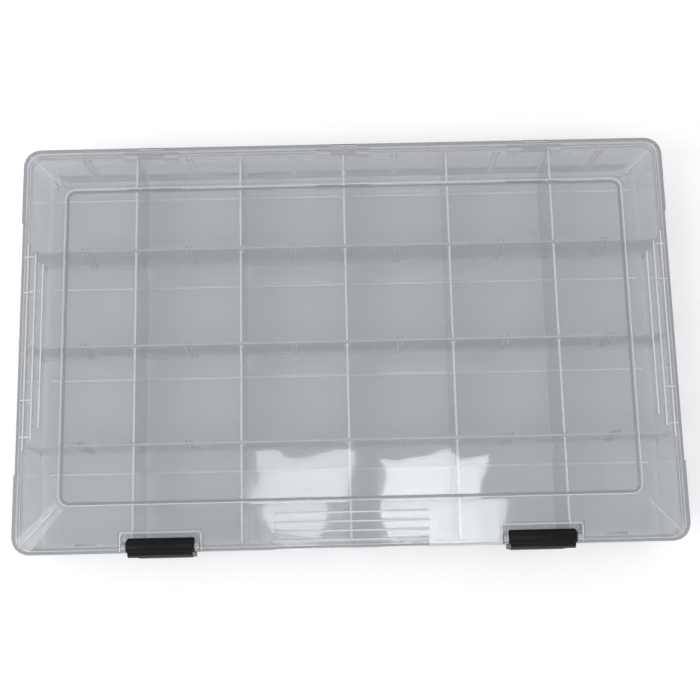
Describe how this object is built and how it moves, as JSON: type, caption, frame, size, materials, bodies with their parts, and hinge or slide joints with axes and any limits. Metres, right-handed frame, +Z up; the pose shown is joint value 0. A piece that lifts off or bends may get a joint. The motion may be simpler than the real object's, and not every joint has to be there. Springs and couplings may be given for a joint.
{
  "type": "tackle box",
  "caption": "Flat clear plastic tackle box with rows of compartments, lift-out dividers, a hinged lid with bevelled borders, and black snap latches.",
  "frame": {"origin": "centre of the tray's flat underside, on the surface that the box stands on", "axes": "+X to the right along the width as seen from the latches, +Y from the latches to the hinges, +Z up"},
  "size_m": [0.36, 0.2307, 0.05],
  "materials": {
    "clear_tray": "clear moulded polystyrene, polished",
    "clear_lid": "clear moulded polystyrene, polished",
    "clear_divider": "clear moulded polystyrene, polished",
    "black_latch": "black moulded plastic, semi-gloss",
    "steel_pin": "plain drawn wire"
  },
  "bodies": {
    "base": {"tray": "clear_tray", "divider_row1_col1": "clear_divider", "divider_row1_col2": "clear_divider", "divider_row1_col3": "clear_divider", "divider_row1_col4": "clear_divider", "divider_row1_col5": "clear_divider", "divider_row2_col1": "clear_divider", "divider_row2_col2": "clear_divider", "divider_row2_col3": "clear_divider", "divider_row2_col4": "clear_divider", "divider_row2_col5": "clear_divider", "divider_row3_col1": "clear_divider", "divider_row3_col2": "clear_divider", "divider_row3_col3": "clear_divider", "divider_row3_col4": "clear_divider", "divider_row3_col5": "clear_divider", "divider_row4_col1": "clear_divider", "divider_row4_col2": "clear_divider", "divider_row4_col3": "clear_divider", "divider_row4_col4": "clear_divider", "divider_row4_col5": "clear_divider", "hinge_pin_left": "steel_pin", "hinge_pin_centre": "steel_pin", "hinge_pin_right": "steel_pin"},
    "lid": {"lid": "clear_lid", "latch_pin_left": "steel_pin", "latch_pin_right": "steel_pin"},
    "latch_left": {"latch_left": "black_latch"},
    "latch_right": {"latch_right": "black_latch"}
  },
  "joints": [
    {"name": "lid_hinge", "type": "hinge", "parent": "base", "child": "lid", "pos_m": [0, 0.1128, 0.034], "axis": [-1, 0, 0], "range_deg": [0, 180]},
    {"name": "latch_left_pivot", "type": "hinge", "parent": "lid", "child": "latch_left", "pos_m": [-0.101, -0.109, 0.0453], "axis": [-1, 0, 0], "range_deg": [0, 115]},
    {"name": "latch_right_pivot", "type": "hinge", "parent": "lid", "child": "latch_right", "pos_m": [0.101, -0.109, 0.0453], "axis": [-1, 0, 0], "range_deg": [0, 115]}
  ]
}
